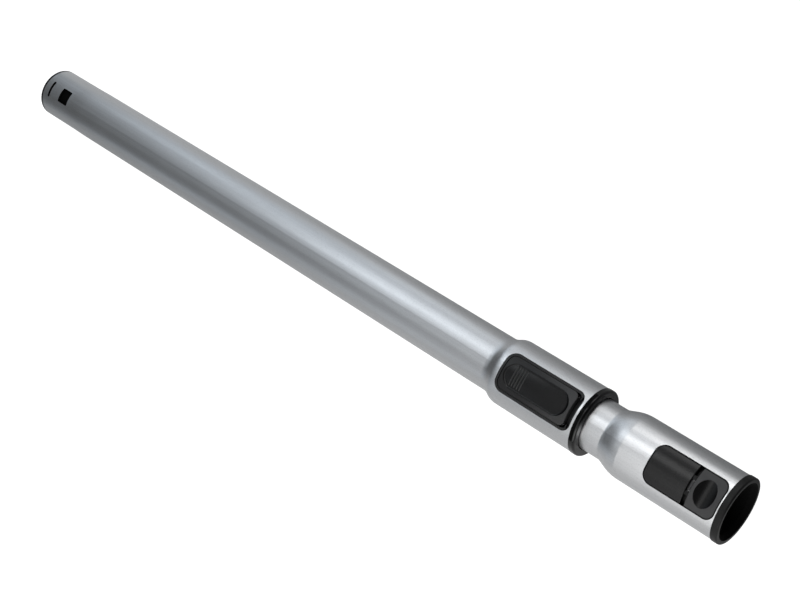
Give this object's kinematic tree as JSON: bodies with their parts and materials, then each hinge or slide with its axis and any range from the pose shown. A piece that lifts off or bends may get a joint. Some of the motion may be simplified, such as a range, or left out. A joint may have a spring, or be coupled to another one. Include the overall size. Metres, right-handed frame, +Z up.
{
  "type": "vacuum cleaner tube",
  "caption": "Telescopic vacuum cleaner tube: inner tube slides in an outer tube behind a finger slider lock, with a latched handle socket and a nozzle spigot with a latch hole.",
  "frame": {"origin": "centre of the rim at the nozzle end, on the tube's axis", "axes": "+X along the tube from the nozzle end to the handle socket, +Z up through the slider and the latch button, tube lying level"},
  "size_m": [0.5924, 0.0418, 0.0418],
  "materials": {
    "tube_steel": "satin",
    "black_plastic": "satin",
    "black_gloss": "gloss",
    "glide_plastic": "satin",
    "seal_rubber": "matte",
    "small_steel": "satin"
  },
  "bodies": {
    "outer": {"outer_tube": "tube_steel", "spigot_insert": "black_plastic", "guide_sleeve": "black_plastic", "slider_bezel": "black_plastic", "collar_ring": "black_gloss", "wiper_seal": "seal_rubber", "slider_spring_left": "small_steel", "slider_spring_right": "small_steel"},
    "slider": {"slider_button": "black_plastic"},
    "lock": {"lock_roller": "small_steel"},
    "inner": {"inner_tube": "tube_steel", "glide_ring": "glide_plastic", "socket_liner": "black_plastic", "latch_cover": "black_plastic", "latch_pin": "small_steel", "latch_spring": "small_steel"},
    "latch": {"latch_lever": "black_plastic"}
  },
  "joints": [
    {"name": "telescope", "type": "slide", "parent": "outer", "child": "inner", "axis": [1, 0, 0], "range_m": [0, 0.36]},
    {"name": "slider_press", "type": "slide", "parent": "outer", "child": "slider", "axis": [1, 0, 0], "range_m": [0, 0.0025], "stiffness_N_per_m": 1200, "springref_m": -0.002, "deforming": ["slider_spring_left", "slider_spring_right"]},
    {"name": "lock_lift", "type": "slide", "parent": "outer", "child": "lock", "axis": [0, 0, 1], "range_m": [0, 0.0011]},
    {"name": "latch_press", "type": "hinge", "parent": "inner", "child": "latch", "pos_m": [0.5692, 0, 0.0176], "axis": [0, 1, 0], "range_deg": [0, 5], "stiffness_Nm_per_rad": 0.4, "springref_deg": -4.98, "deforming": ["latch_spring"]}
  ],
  "couplings": [
    {"joint": "lock_lift", "follows": "slider_press", "ratio": 0.42}
  ]
}
